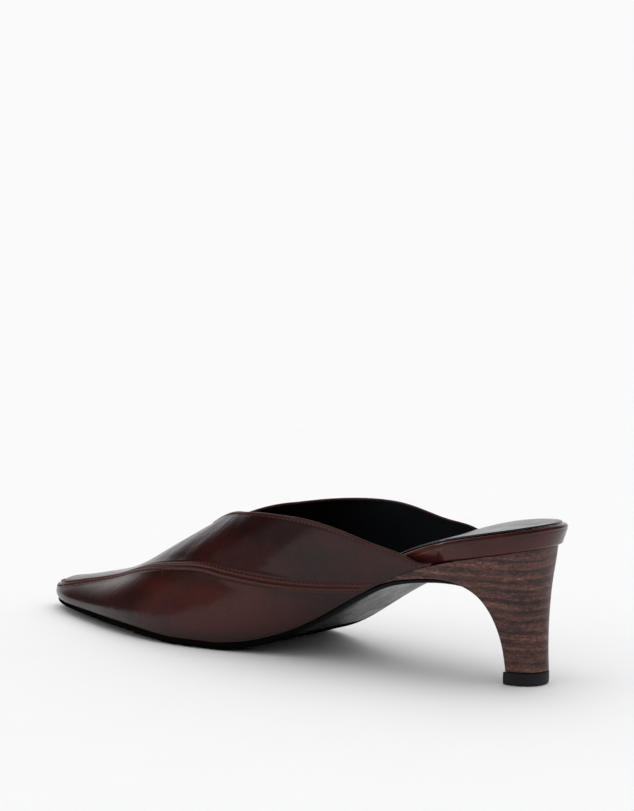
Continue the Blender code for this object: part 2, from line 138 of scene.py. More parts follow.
# The topline's folded edge, and how the outer leather ends at it and under its foot
EDGE_ROW = 0.0009
EDGE_RADIUS = 0.00062
EDGE_STEP = 0.0011
EDGE_FADE = 0.012
EDGE_THICKNESS = 0.00115
EDGE_SKIVE = 0.006
EDGE_ROLL = 0.00010
TOP_ZONE = 0.003
LEATHER_ROWS = (12, 27, 15, 11)
TURN_IN = ((0.0016, 0.00016), (0.0007, 0.00018), (0.0002, 0.00009))

# Creases: share and rise of the start, then of the end, and width and depth in metres
WALL_SPAN = 0.05
CREASES = (
    (0.60, 0.97, 0.70, 0.62, 0.0030, 0.00022),
    (0.635, 0.98, 0.735, 0.66, 0.0026, 0.00018),
    (0.675, 0.99, 0.775, 0.72, 0.0026, 0.00016),
    (0.57, 0.80, 0.655, 0.52, 0.0032, 0.00020),
    (0.72, 0.97, 0.80, 0.74, 0.0024, 0.00012),
    (0.60, 0.34, 0.70, 0.14, 0.0045, 0.00018),
    (0.66, 0.36, 0.76, 0.18, 0.0045, 0.00016),
)

# Sock, the heel's breast with the sole's flap, the span over which the sole's shine fades out as painted
# shade, and the heel's layers
SOCK_MARGIN = 0.0023
SOCK_CUP = 0.0002
BREAST_INSET = 0.0019
BREAST_COVER = 0.0002
BREAST_SPAN = (0.09, 0.15)
SHADED_REFLECTION_SPAN = (-0.050, -0.020)
LAYER_HEIGHT = 0.0039

# Leather tones from the dark wash to the warm ground, the rubbed seam, and the painted shade of the seam's
# groove and needle holes
BROWN_TONES = ((0.012, 0.0030, 0.0027), (0.034, 0.0062, 0.0048), (0.066, 0.0095, 0.0062))
WRAP_TONES = ((0.024, 0.0070, 0.0064), (0.056, 0.013, 0.0105), (0.092, 0.018, 0.013))
SEAM_COLOUR = (0.085, 0.021, 0.015)
GAP_SHADE_COLOUR = (0.006, 0.002, 0.002)

# Camera, worked out from the photo's outlines
CAMERA_AZIMUTH = 38.826
CAMERA_HEIGHT_ANGLE = 9.749
CAMERA_ROLL = 0.829
CAMERA_DISTANCE = 1.2497
CAMERA_TARGET = (-0.00357, 0.0, 0.03061)
CAMERA_TARGET_SHIFT = (-0.004866, -0.050638)
CAMERA_LENS = 141.37

# Studio: backdrop and floor, the room's light by height and side, and the lamps
BACKDROP = (0.955, 0.955, 0.957)
FLOOR_COLOUR = (0.94, 0.94, 0.943)
FLOOR_FADE = (0.5, 2.5)
ROOM_FAR_SIDE = ((0.0, 0.95), (0.45, 1.0), (0.62, 0.85), (0.82, 0.58), (1.0, 0.04))
ROOM_NEAR_SIDE = ((0.0, 0.02), (1.0, 0.02))
ROOM_BRIGHT_WAY = (0.56, -0.828, 0.0)
FAR_SIDE_SPAN = (0.58, 0.92)
PANEL_WAY = (0.505, 0.808, 0.303)
PANEL_SPAN = (0.84, 0.93)
PANEL_LEVEL = 0.30
DOME_STRENGTH = 1.97
SUN_STRENGTH = 1.00
SUN_SPREAD = 70.0
SUN_FROM = (0.20, -0.28, 1.0)


def smooth_through(knots, values):
    """A natural cubic spline through the values at the knots, as a function."""
    knots, values = np.asarray(knots, float), np.asarray(values, float)
    steps = np.diff(knots)
    slopes = np.diff(values) / steps
    count = len(knots)
    system = np.eye(count)
    right = np.zeros(count)
    for i in range(1, count - 1):
        system[i, i - 1 : i + 2] = steps[i - 1], 2 * (steps[i - 1] + steps[i]), steps[i]
        right[i] = 6 * (slopes[i] - slopes[i - 1])
    bends = np.linalg.solve(system, right)

    def at(where):
        where = np.asarray(where, float)
        i = np.clip(np.searchsorted(knots, where) - 1, 0, count - 2)
        step, ahead, behind = steps[i], knots[i + 1] - where, where - knots[i]
        return (
            (bends[i] * ahead**3 + bends[i + 1] * behind**3) / (6 * step)
            + (values[i] / step - bends[i] * step / 6) * ahead
            + (values[i + 1] / step - bends[i + 1] * step / 6) * behind
        )

    return at


def column(table, name, scale=1.0):
    """One row of a table as a smooth function of the table's first row."""
    first = next(iter(table))
    return smooth_through(table[first], np.array(table[name]) * scale)


OUTER = column(LAST, "outer", BALL_WIDTH)
INNER = column(LAST, "inner", BALL_WIDTH)
LIFT = column(LAST, "lift", HEEL_HEIGHT - SOLE_THICKNESS - FIT_GAP)
CROWN = column(LAST, "crown", CONE_HEIGHT)
SWELL = column(LAST, "swell", BALL_WIDTH)
SHOULDER = column(LAST, "shoulder")
SEAM_RUN = column(SEAM, "rise")
TAPER = column(HEEL_TAPER, "width")
TOP_OUTER = column(TOPLINE, "outer")
TOP_INNER = column(TOPLINE, "inner")


def ease(share):
    share = np.clip(share, 0.0, 1.0)
    return share * share * (3 - 2 * share)


def between(share, ends):
    return ease((share - ends[0]) / (ends[1] - ends[0]))


def mound(where, middle, wide):
    return np.exp(-(((where - middle) / wide) ** 2))


def unit(vectors):
    return vectors / np.maximum(np.linalg.norm(vectors, axis=-1, keepdims=True), 1e-12)


def length_along(points):
    return np.concatenate([[0.0], np.cumsum(np.linalg.norm(np.diff(points, axis=0), axis=1))])


def place(share):
    return (np.asarray(share, float) - 0.5) * LENGTH


def share_of(x):
    return x / LENGTH + 0.5


def half_width(share, side):
    share = np.asarray(share, float)
    width = OUTER(share) if side > 0 else INNER(share)
    back = np.clip((HEEL_ROUND - share) / HEEL_ROUND, 0.0, 1.0)
    front = np.clip((share - TOE_ROUND) / (1 - TOE_ROUND), 0.0, 1.0)
    return width * np.sqrt(1 - back**2) * np.sqrt(1 - front**TOE_ROUNDNESS)


def tread(share):
    return np.maximum(LIFT(share) - TREAD_PRESS, 0.0)


def edge_thickness(share):
    return SOLE_THICKNESS - TOE_SKIVE * ease((share - SKIVE_START) / (1 - SKIVE_START))


def feather(share):
    return tread(share) + edge_thickness(share) + FIT_GAP


def edge_x(share):
    return place(share) - TOE_OVERHANG * np.clip((share - TOE_ROUND) / (1 - TOE_ROUND), 0.0, 1.0) ** 2


def outline(share, side, inset=0.0):
    """Plan of the last's edge on one side (1 outer, -1 inner), moved in by the inset."""
    share = np.asarray(share, float)
    step = 1e-6
    low, high = np.maximum(share - step, 0.0), np.minimum(share + step, 1.0)
    run = edge_x(high) - edge_x(low)
    turn = side * (half_width(high, side) - half_width(low, side))
    length = np.hypot(run, turn)
    x = edge_x(share) + side * inset * turn / length
    y = side * half_width(share, side) - side * inset * run / length
    return x, y


def ridge_share(share):
    """Where a section's ridge stands: it falls behind its foot towards the toe's tip."""
    start, stop = 1 - NOSE_REACH / LENGTH, 1 - NOSE_DEPTH / LENGTH
    lead = (1 - start) / (stop - start)
    power = lead / (lead - 1)
    run = np.clip((share - start) / (1 - start), 0.0, 1.0)
    ahead = start + (stop - start) * (lead * run - (lead - 1) * run**power)
    return np.where(share < start, share, ahead)


def wall(share, rise, side):
    """Points of the upper's outer face: rise runs from 0 at its foot to 1 at the ridge."""
    share, rise = np.broadcast_arrays(np.asarray(share, float), np.asarray(rise, float))
    x, y = outline(share, side)
    foot = np.stack([x, y, feather(share)], -1)
    out = np.stack(outline(share, side, -1.0), -1) - foot[..., :2]
    crown = CROWN(ridge_share(share))
    ridge_z = feather(ridge_share(share)) + crown
    ridge = np.stack([place(ridge_share(share)), np.zeros_like(x), ridge_z], -1)
    low = foot.copy()
    low[..., :2] += out * SWELL(share)[..., None]
    low[..., 2] += WALL_RISE * crown
    high = ridge.copy()
    high[..., :2] += (foot - ridge)[..., :2] * SHOULDER(share)[..., None]
    t = rise[..., None]
    lower = (1 - t) ** 3 * foot + 3 * (1 - t) ** 2 * t * low
    return lower + 3 * (1 - t) * t**2 * high + t**3 * ridge


def wall_normal(share, rise, side):
    """Outward unit normal of the wall, from small steps both ways."""
    share, rise = np.broadcast_arrays(np.asarray(share, float), np.asarray(rise, float))
    step = 2e-3
    back, ahead = np.maximum(share - step, TAIL), np.minimum(share + step, 0.9995)
    low, high = np.maximum(rise - step, 0.0), np.minimum(rise + step, 1.0)
    along = wall(ahead, rise, side) - wall(back, rise, side)
    up = wall(share, high, side) - wall(share, low, side)
    normal = np.cross(up, along) * side
    at_ridge = (rise > 0.9995) & (share > THROAT - 0.01)
    normal[at_ridge, 1] = 0.0
    return unit(normal)


def topline(share, side):
    rise = (TOP_OUTER if side > 0 else TOP_INNER)(np.clip(share, TAIL, THROAT))
    return np.where(share >= THROAT, 1.0, np.clip(rise, 0.0, 1.0))


def wall_height(share, side):
    steps = np.linspace(0.0, 1.0, 25)
    points = wall(np.asarray(share, float)[:, None], steps[None, :], side)
    return np.linalg.norm(np.diff(points, axis=1), axis=-1).sum(1)


def wall_speed(share, rise, side):
    """Length along the wall for each unit of rise, near the given rise."""
    share, rise = np.broadcast_arrays(np.asarray(share, float), np.clip(rise, 0.0, 1.0))
    low, high = np.maximum(rise - 0.01, 0.0), np.minimum(rise + 0.01, 1.0)
    return np.linalg.norm(wall(share, high, side) - wall(share, low, side), axis=-1) / (high - low)


def seam_middle(share):
    past_end = np.maximum(SEAM_END - share, 0.0)
    return SEAM_RUN(np.maximum(share, SEAM_END)) - SEAM_DIVE * past_end


def board_height(share, side):
    height = RIM_HEIGHT + (INSOLE_THICKNESS - RIM_HEIGHT) * between(share, BOARD_THINS)
    if side < 0:
        height += SEAT_TILT * between(share, TILT_STARTS) * (1 - between(share, TILT_ENDS))
    return height * (1 - TOE_THINNING * between(share, (TOE_ROUND, 1.0)))


def sole_thickness(share):
    return FLAP_THICKNESS + (edge_thickness(share) - FLAP_THICKNESS) * between(share, SOLE_THICKENS)


def sole_underside(share):
    step = 1e-5
    slope = (feather(share + step) - feather(share - step)) / (2 * step * LENGTH)
    return feather(share) - FIT_GAP - sole_thickness(share) * np.hypot(1.0, slope)


def arch_curve():
    """The underside's line from the heel tip up its breast and under the arch, by its length."""
    joins = np.array(ARCH_JOINS)
    x = np.concatenate([place(ARCH["along"]), place(joins)])
    z = np.concatenate([np.array(ARCH["rise"]) * HEEL_HEIGHT, sole_underside(joins)])
    run = length_along(np.stack([x, z], 1))
    return smooth_through(run, x), smooth_through(run, z), run


def heel_back(up):
    return place(0.0) + HEEL_SETBACK + HEEL_HOLLOW * 4 * up * (1 - up)


def heel_width(x, up, side):
    narrow = HEEL_TIP_WIDTH / 2 / float(half_width(HEEL_ROUND, 1))
    scale = narrow + (1 - narrow) * TAPER(up)
    share = np.clip((x - heel_back(up)) / scale / LENGTH, 0.0, 1.0)
    inset = RIM_LEAN * (1 - between(share, (0.0, LEAN_END))) * between(share, (0.0, HEEL_ROUND))
    return scale * (half_width(share, side) - inset)


def way_up(x, z):
    share = share_of(x)
    floor = HEEL_TIP_HEIGHT + FIT_GAP
    return np.clip((z - floor) / (feather(share) - FIT_GAP - floor), 0.0, 1.0)


# Nodes of materials


class Nodes:
    """A node tree, with short calls for the nodes used here."""

    def __init__(self, tree, coordinates):
        self.tree = tree
        self.point = self.node("ShaderNodeTexCoord").outputs[coordinates]

    def link(self, start, end):
        self.tree.links.new(start, end)

    def node(self, kind, **settings):
        made = self.tree.nodes.new(kind)
        for key, value in settings.items():
            setattr(made, key, value)
        return made

    def fill(self, socket, value):
        """Link a socket's value into another, or set a number or a colour on it."""
        if isinstance(value, (int, float)):
            socket.default_value = value
        elif isinstance(value, tuple):
            socket.default_value = (*value, 1.0)
        else:
            self.link(value, socket)

    def along(self, axis):
        split = self.node("ShaderNodeSeparateXYZ")
        self.link(self.point, split.inputs["Vector"])
        return split.outputs[axis]

    def facing(self, towards, span):
        """How far the coordinates face one way, eased from 0 to 1 between two cosines."""
        made = self.node("ShaderNodeVectorMath", operation="DOT_PRODUCT")
        made.inputs[1].default_value = towards
        self.link(self.point, made.inputs[0])
        return self.grey(made.outputs["Value"], 0.0, 1.0, *span, "SMOOTHSTEP")

    def stretch(self, scale, turn=(0, 0, 0), kind="POINT"):
        """Coordinates scaled and turned; as TEXTURE they draw a pattern out along the turned x."""
        made = self.node("ShaderNodeMapping", vector_type=kind)
        made.inputs["Scale"].default_value = scale
        made.inputs["Rotation"].default_value = turn
        self.link(self.point, made.inputs["Vector"])
        return made.outputs["Vector"]

    def noise(self, scale, detail=4.0, rough=0.5, start=None, bend=0.0):
        made = self.node("ShaderNodeTexNoise")
        made.inputs["Scale"].default_value = scale
        made.inputs["Detail"].default_value = detail
        made.inputs["Roughness"].default_value = rough
        made.inputs["Distortion"].default_value = bend
        self.link(start or self.point, made.inputs["Vector"])
        return made.outputs["Fac"]

    def cells(self, scale):
        made = self.node("ShaderNodeTexVoronoi")
        made.inputs["Scale"].default_value = scale
        self.link(self.point, made.inputs["Vector"])
        return made.outputs["Distance"]

    def ramp(self, value, stops):
        made = self.node("ShaderNodeValToRGB")
        points = made.color_ramp.elements
        while len(points) < len(stops):
            points.new(0.5)
        for point, (where, colour) in zip(points, stops):
            point.position = where
            point.color = (*colour, 1.0)
        self.link(value, made.inputs["Fac"])
        return made.outputs["Color"]

    def grey(self, value, low, high, start=0.0, stop=1.0, how="LINEAR"):
        made = self.node("ShaderNodeMapRange", interpolation_type=how)
        made.inputs["From Min"].default_value = start
        made.inputs["From Max"].default_value = stop
        made.inputs["To Min"].default_value = low
        made.inputs["To Max"].default_value = high
        self.link(value, made.inputs["Value"])
        return made.outputs["Result"]

    def blend(self, amount, first, second, mode="MIX"):
        made = self.node("ShaderNodeMix", data_type="RGBA", blend_type=mode)
        for name, value in (("Factor", amount), ("A", first), ("B", second)):
            self.fill(made.inputs[name], value)
        return made.outputs["Result"]

    def tint(self, colour, by):
        return self.blend(1.0, colour, by, "MULTIPLY")

    def math(self, how, first, second=0.0):
        made = self.node("ShaderNodeMath", operation=how)
        self.fill(made.inputs[0], first)
        self.fill(made.inputs[1], second)
        return made.outputs["Value"]

    def plus(self, first, second):
        return self.math("ADD", first, second)

    def times(self, first, second):
        return self.math("MULTIPLY", first, second)

    def bump(self, height, distance, strength, under=None):
        made = self.node("ShaderNodeBump")
        made.inputs["Strength"].default_value = strength
        made.inputs["Distance"].default_value = distance
        self.link(height, made.inputs["Height"])
        if under is not None:
            self.link(under, made.inputs["Normal"])
        return made.outputs["Normal"]

    def attribute(self, name):
        return self.node("ShaderNodeAttribute", attribute_name=name).outputs["Fac"]


class Mixer(Nodes):
    """The node tree of a material."""

    def __init__(self, name):
        self.material = bpy.data.materials.new(name)
        self.material.use_nodes = True
        super().__init__(self.material.node_tree, "Object")

    def set(self, **values):
        shader = self.tree.nodes["Principled BSDF"]
        for name, value in values.items():
            self.fill(shader.inputs[name.replace("_", " ")], value)


def leather(name, tones, gloss=0.22, creased=True):
    """Brushed leather: a dark wash over a red ground, fine grain, long creases and a wax coat."""
    mix = Mixer(name)
    brushed = mix.noise(40.0, 5.0, 0.65, mix.stretch((0.35, 1.0, 1.6), (0.0, 0.5, 0.25)))
    wash = mix.plus(mix.noise(26.0, 5.0, 0.6), mix.times(brushed, 0.5))
    ground = mix.ramp(wash, tuple(zip((0.52, 0.72, 0.92), tones)))
    speck = mix.grey(mix.noise(900.0, 2.0, 0.5), 0.86, 1.08, 0.3, 0.75)
    colour = mix.tint(ground, speck)
    normal = mix.bump(mix.cells(2600.0), 0.00005, 0.12)
    normal = mix.bump(mix.noise(1500.0, 3.0, 0.6), 0.00004, 0.15, normal)
    if creased:
        colour = mix.blend(mix.times(mix.attribute("edge"), 0.75), colour, tones[0])
        colour = mix.blend(mix.times(mix.attribute("seam"), 0.8), colour, mix.tint(SEAM_COLOUR, speck))
        # Painted shade: the seam's middle groove and the needle holes are darkened to near black, standing
        # in for the shade in these recesses
        colour = mix.blend(mix.times(mix.attribute("gap"), 0.85), colour, GAP_SHADE_COLOUR)
        strong = mix.attribute("crease")
        drawn_out = mix.stretch((6.0, 1.0, 1.0), (0.0, 0.694, 0.675), "TEXTURE")
        lines = mix.noise(700.0, 3.0, 0.62, drawn_out, 0.3)
        normal = mix.bump(mix.times(lines, mix.grey(strong, 0.3, 1.0)), 0.00030, 0.8, normal)
        pebbles = mix.times(mix.noise(430.0, 4.0, 0.65), strong)
        normal = mix.bump(pebbles, 0.00048, 0.7, normal)
    normal = mix.bump(mix.noise(85.0, 2.0, 0.5), 0.0005, 0.2, normal)
    rough = mix.grey(mix.noise(60.0, 4.0, 0.6), gloss + 0.12, gloss + 0.26, 0.3, 0.7)
    wax = mix.grey(mix.noise(160.0, 4.0, 0.65), gloss - 0.15, gloss - 0.10, 0.3, 0.7)
    mix.set(Base_Color=colour, Roughness=rough, Normal=normal, Specular_IOR_Level=0.08)
    mix.set(Coat_Weight=0.62, Coat_Roughness=wax, Coat_IOR=1.40, Coat_Normal=normal)
    return mix.material


def plain_leather(name, colour, rough, grain, scale, shine):
    mix = Mixer(name)
    tinted = mix.tint(colour, mix.grey(mix.noise(90.0, 4.0, 0.6), 0.75, 1.2, 0.3, 0.7))
    normal = mix.bump(mix.cells(scale), 0.00008, grain)
    normal = mix.bump(mix.noise(scale * 0.7, 3.0, 0.6), 0.00006, grain, normal)
    spread = mix.grey(mix.noise(70.0, 3.0, 0.6), rough - 0.06, rough + 0.08, 0.3, 0.7)
    mix.set(Base_Color=tinted, Roughness=spread, Normal=normal, Specular_IOR_Level=shine)
    return mix.material


def stacked_wood(name):
    """Thin stacked layers: wavy dark and red-brown bands with short pores, under a satin varnish."""
    mix = Mixer(name)
    wave = mix.noise(30.0, 3.0, 0.5, mix.stretch((1.0, 1.0, 0.6)))
    height = mix.plus(mix.along("Z"), mix.times(wave, 0.0045))
    joined = mix.node("ShaderNodeCombineXYZ")
    mix.link(height, joined.inputs["Z"])
    layers = mix.math("SINE", mix.times(height, 2 * np.pi / LAYER_HEIGHT))
    bands = mix.noise(420.0, 3.0, 0.62, joined.outputs["Vector"])
    fibre = mix.noise(300.0, 4.0, 0.7, mix.stretch((0.35, 0.35, 3.0)))
    pores = mix.noise(1100.0, 3.0, 0.75, mix.stretch((0.45, 0.45, 1.3)))
    patch = mix.noise(70.0, 3.0, 0.6, mix.stretch((1.0, 1.0, 2.2)))
    tone = bands
    for part, weight in ((fibre, 0.55), (patch, 0.40), (layers, 0.055)):
        tone = mix.plus(tone, mix.times(part, weight))
    stops = (
        (0.0, (0.016, 0.010, 0.011)),
        (0.32, (0.042, 0.022, 0.020)),
        (0.55, (0.088, 0.040, 0.033)),
        (0.78, (0.145, 0.066, 0.050)),
        (1.0, (0.220, 0.115, 0.085)),
    )
    colour = mix.ramp(mix.grey(tone, 0.0, 1.0, 0.66, 1.28), stops)
    colour = mix.tint(colour, mix.grey(pores, 0.5, 1.4, 0.35, 0.68))
    colour = mix.tint(colour, mix.grey(mix.noise(2300.0, 2.0, 0.6), 0.6, 1.5, 0.35, 0.68))
    colour = mix.tint(colour, mix.grey(mix.along("Z"), 0.95, 1.2, 0.0, 0.04))
    normal = mix.bump(bands, 0.00018, 0.5)
    normal = mix.bump(pores, 0.00008, 0.5, normal)
    rough = mix.grey(fibre, 0.36, 0.56, 0.3, 0.7)
    mix.set(Base_Color=colour, Roughness=rough, Normal=normal, Specular_IOR_Level=0.25)
    return mix.material


def satin_sole(name, colour, rough, shine, painted_reflection_shade=False):
    mix = Mixer(name)
    tinted = mix.tint(colour, mix.grey(mix.noise(60.0, 4.0, 0.6), 0.7, 1.3, 0.3, 0.7))
    normal = mix.bump(mix.noise(1300.0, 3.0, 0.6), 0.00004, 0.10)
    normal = mix.bump(mix.noise(60.0, 2.0, 0.5), 0.0003, 0.08, normal)
    spread = mix.grey(mix.noise(120.0, 4.0, 0.7), rough - 0.05, rough + 0.10, 0.3, 0.7)
    mix.set(Base_Color=tinted, Roughness=spread, Normal=normal, Specular_IOR_Level=shine)
    if painted_reflection_shade:
        # Painted shade: the specular level falls from the shine at the waist to nothing towards the ball and
        # toe, standing in for the shadowed floor that the sole would reflect there
        mix.set(Specular_IOR_Level=mix.grey(mix.along("X"), shine, 0.0, *SHADED_REFLECTION_SPAN))
    return mix.material


def thread(name, colour):
    mix = Mixer(name)
    twist = mix.noise(5200.0, 2.0, 0.5)
    tinted = mix.tint(colour, mix.grey(twist, 0.6, 1.3, 0.3, 0.7))
    mix.set(Base_Color=tinted, Roughness=0.62, Normal=mix.bump(twist, 0.00006, 0.7))
    mix.set(Specular_IOR_Level=0.2)
    return mix.material


def floor_paper(name):
    """Pale paper that turns into the backdrop's own light far from the shoe, so no horizon shows."""
    mix = Mixer(name)
    paper = mix.tint(FLOOR_COLOUR, mix.grey(mix.noise(40.0, 3.0, 0.6), 0.99, 1.01))
    reach = mix.node("ShaderNodeVectorMath", operation="LENGTH")
    mix.link(mix.point, reach.inputs[0])
    far = mix.grey(reach.outputs["Value"], 0.0, 1.0, *FLOOR_FADE)
    mix.set(Base_Color=mix.blend(far, paper, (0.0, 0.0, 0.0)), Roughness=1.0, Specular_IOR_Level=0.0)
    mix.set(Normal=mix.bump(mix.noise(900.0, 2.0, 0.5), 0.00005, 0.2))
    mix.set(Emission_Color=BACKDROP, Emission_Strength=far)
    return mix.material


# Pieces


def make_piece(name, points, faces, material, sharp_degrees, body="root"):
    mesh = bpy.data.meshes.new(name)
    mesh.from_pydata(np.asarray(points, float).tolist(), [], [tuple(map(int, f)) for f in faces])
    work = bmesh.new()
    work.from_mesh(mesh)
    bmesh.ops.recalc_face_normals(work, faces=work.faces)
    work.to_mesh(mesh)
    work.free()
    mesh.shade_smooth()
    if sharp_degrees:
        mesh.set_sharp_from_angle(angle=np.radians(sharp_degrees))
    mesh.materials.append(material)
    piece = bpy.data.objects.new(name, mesh)
    bpy.context.scene.collection.objects.link(piece)
    if body:
        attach(piece, body)
    return piece


def set_values(piece, name, values):
    layer = piece.data.attributes.new(name, "FLOAT", "POINT")
    layer.data.foreach_set("value", np.asarray(values, np.float32))


def grid_faces(count, height, start, turned):
    index = start + np.arange(count * height).reshape(count, height)
    a, b, c, d = index[:-1, :-1], index[:-1, 1:], index[1:, 1:], index[1:, :-1]
    faces = np.stack([a, b, c, d], -1).reshape(-1, 4)
    return faces[:, ::-1] if turned else faces


def ring_faces(rings, around, base=0):
    """Quads that join rings of points, each to the next."""
    faces = []
    for i in range(rings - 1):
        low, high = base + i * around, base + (i + 1) * around
        for j in range(around):
            k = (j + 1) % around
            faces.append((low + j, low + k, high + k, high + j))
    return faces


def loft(name, loops, material, sharp_degrees):
    loops = np.asarray(loops, float)
    rows, count = loops.shape[:2]
    faces = ring_faces(rows, count)
    for base in (0, (rows - 1) * count):
        for j in range(count // 2 - 1):
            faces.append((base + j, base + j + 1, base + count - 2 - j, base + count - 1 - j))
    return make_piece(name, loops.reshape(-1, 3), faces, material, sharp_degrees)


def loft_sides(name, sides, material):
    """A loft of sections that run in over the outer side and out over the inner one."""
    return loft(name, np.concatenate([sides[0], sides[1][:, ::-1]], 1), material, 0)


def join_sides(name, grids, material, turned):
    """A sheet of the outer side's and the inner side's grid; faces on the side turned are flipped."""
    points, faces, start = [], [], 0
    for side, grid in zip((1, -1), grids):
        points.append(grid.reshape(-1, 3))
        faces.append(grid_faces(*grid.shape[:2], start, side == turned))
        start += len(points[-1])
    return make_piece(name, np.concatenate(points), np.concatenate(faces), material, 0)


def column_shares():
    """Shares of the upper's columns: even along the foot, closer at the throat and the toe's tip."""
    behind = TAIL + (THROAT - TAIL) * np.sin(np.linspace(0.0, np.pi / 2, 300))
    middle = np.linspace(THROAT, TOE_ROUND, 190)[1:]
    return np.concatenate([behind, middle, toe_tip(70)[1:]])


def leather_rows(shares, side, top):
    """Rises of the outer grid's rows, crowded at the seam and the top, and distances from the seam."""
    middle = seam_middle(shares)
    speed = wall_speed(shares, middle, side)
    reach = SEAM_PROFILE["across"][-1] / speed
    low, high = np.maximum(middle - reach, 0.0), np.maximum(middle + reach, 0.0)
    low, high = np.minimum(low, 0.9 * top), np.minimum(high, 0.95 * top)
    zone = np.minimum(TOP_ZONE / wall_speed(shares, top, side), 0.4 * (top - high))
    under, over, above, crowded = (np.linspace(0.0, 1.0, count) for count in LEATHER_ROWS)
    rows = [part * low for part in under[:-1]]
    rows += [low + part * (high - low) for part in over]
    rows += [high + part * (top - zone - high) for part in above[1:]]
    rows += [top - part * zone for part in crowded[-2::-1]]
    rows = np.array(rows).T
    return rows, (rows - middle[:, None]) * speed[:, None]


def run_from_front(shares, rows, side, last):
    """Distance along a line on the wall, measured back from its front end at the share last."""
    run = length_along(wall(shares, np.clip(rows, 0.0, 1.0), side))
    return np.interp(last, shares, run) - run


def seam_run(shares, side):
    fine = np.append(np.linspace(TAIL, TOE_ROUND, 2400)[:-1], toe_tip(600))
    return np.interp(shares, fine, run_from_front(fine, seam_middle(fine), side, 1.0))


def edge_row(share, side):
    return topline(share, side) - EDGE_ROW / wall_speed(share, topline(share, side), side)


def edge_run(shares, side):
    fine = np.linspace(TAIL, THROAT, 2400)
    return np.interp(shares, fine, run_from_front(fine, edge_row(fine, side), side, THROAT))


def toe_tip(count):
    """Shares of the round of the toe, crowded towards its tip."""
    return TOE_ROUND + (1.0 - TOE_ROUND) * (1 - (1 - np.linspace(0.0, 1.0, count)) ** 2)


def creases(share, rise):
    """Depth of the soft troughs in the leather."""
    share, rise = np.broadcast_arrays(share, rise)
    depth = np.zeros(share.shape)
    for a, b, c, d, wide, deep in CREASES:
        span = np.array([(c - a) * LENGTH, (d - b) * WALL_SPAN])
        point = np.stack([(share - a) * LENGTH, (rise - b) * WALL_SPAN], -1)
        along = np.clip((point @ span) / (span @ span), 0.0, 1.0)
        away = np.linalg.norm(point - along[..., None] * span, axis=-1)
        depth += deep * mound(away, 0.0, wide) * np.sin(np.pi * np.clip(along, 0.02, 0.98)) ** 0.5
    return depth


def grid_normals(grid, shares, side):
    """Outward unit normals of a grid of wall points, level across the ridge and the toe's tip."""
    normal = np.cross(np.gradient(grid, axis=1), np.gradient(grid, axis=0)) * side
    normal[-1, :, 1] = 0.0
    normal[shares > THROAT - 0.002, -1, 1] = 0.0
    return unit(normal)


def shape_leather(side):
    """One side of the outer leather: its points, and the marks that its material reads."""
    shares = column_shares()
    top = topline(shares, side)
    rows, away = leather_rows(shares, side, top)
    grid = wall(shares[:, None], rows, side)
    normal = grid_normals(grid, shares, side)
    from_top = (top[:, None] - rows) * wall_speed(shares, top, side)[:, None]
    from_foot = rows * wall_height(shares, side)[:, None]
    fade = between(from_foot, (0.0, 0.003))
    open_part = 1 - between(shares, (THROAT - 0.004, THROAT + 0.004))[:, None]
    beat = np.cos(2 * np.pi * seam_run(shares, side) / STITCH_PITCH)[:, None]
    edge_beat = np.cos(2 * np.pi * edge_run(shares, side) / STITCH_PITCH)[:, None]

    # Relief: the seam, puckered between its stitches, the topline's roll and the creases
    limit = SEAM_PROFILE["across"][-1]
    across = smooth_through(SEAM_PROFILE["across"], SEAM_PROFILE["height"])
    lift = across(np.clip(away, -limit, limit)) * (np.abs(away) < limit)
    raise_by = lift * (1 + 0.2 * beat * (np.abs(away) > 0.0006)) * fade
    roll = mound(from_top, 0.0003, 0.0004) - mound(from_top, EDGE_ROW, 0.0004)
    raise_by = raise_by + EDGE_ROLL * open_part * roll
    raise_by = raise_by - creases(shares[:, None], rows) * (np.abs(away) > limit)
    shaped = grid + normal * raise_by[..., None]
    foot = shaped[:, :1]
    inward = unit(-normal[:, :1] * (1.0, 1.0, 0.0))
    turned_in = [foot + inward * reach - (0, 0, drop) for reach, drop in TURN_IN]

    # Marks: how dark an edge is, where it wrinkles, the seam's rubbed band, and painted shade in the seam's
    # groove and in the needle holes
    edge = np.exp(-from_top / 0.004) * open_part
    edge = np.maximum(edge, np.exp(-from_foot / 0.006))
    edge = np.maximum(edge, 0.55 * mound(away, 0.0, 0.0050))
    edge = np.maximum(edge, 0.45 * between(shares, (0.92, 1.0))[:, None])
    band = (1 - between(np.abs(away), (0.0018, 0.0023))) * fade
    band = np.maximum(band, 0.4 * (1 - between(from_top, (0.0009, 0.0014))) * open_part)
    # Painted shade in the needle holes and in the seam's groove
    hole_shade = mound(np.abs(away), STITCH_ROW, 0.00042) * (0.5 + 0.5 * beat) ** 2
    gap = np.maximum(mound(away, 0.0, 0.00030), hole_shade) * fade
    hole_shade = mound(from_top, EDGE_ROW, 0.00040) * (0.5 + 0.5 * edge_beat) ** 2
    gap = np.maximum(gap, 0.9 * hole_shade * open_part)
    wrinkle = mound(shares[:, None], 0.62, 0.11) * between(rows, (0.45, 0.75))
    wrinkle = np.maximum(wrinkle, 0.35 * mound(shares[:, None], 0.72, 0.10))
    pad = ((0, 0), (len(TURN_IN), 0))
    marks = {"edge": np.pad(edge, pad, constant_values=1.0), "crease": np.pad(wrinkle, pad)}
    marks |= {"seam": np.pad(band, pad), "gap": np.pad(gap, pad)}
    return np.concatenate(turned_in + [shaped], 1), marks


def make_upper(material):
    grids, marks = zip(*(shape_leather(side) for side in (1, -1)))
    upper = join_sides("upper_leather", grids, material, -1)
    for name in marks[0]:
        set_values(upper, name, np.concatenate([part[name].ravel() for part in marks]))
    work = bmesh.new()
    work.from_mesh(upper.data)
    bmesh.ops.remove_doubles(work, verts=work.verts, dist=1e-6)
    bmesh.ops.recalc_face_normals(work, faces=work.faces)
    work.to_mesh(upper.data)
    work.free()
    upper.data.shade_smooth()
    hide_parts("upper")


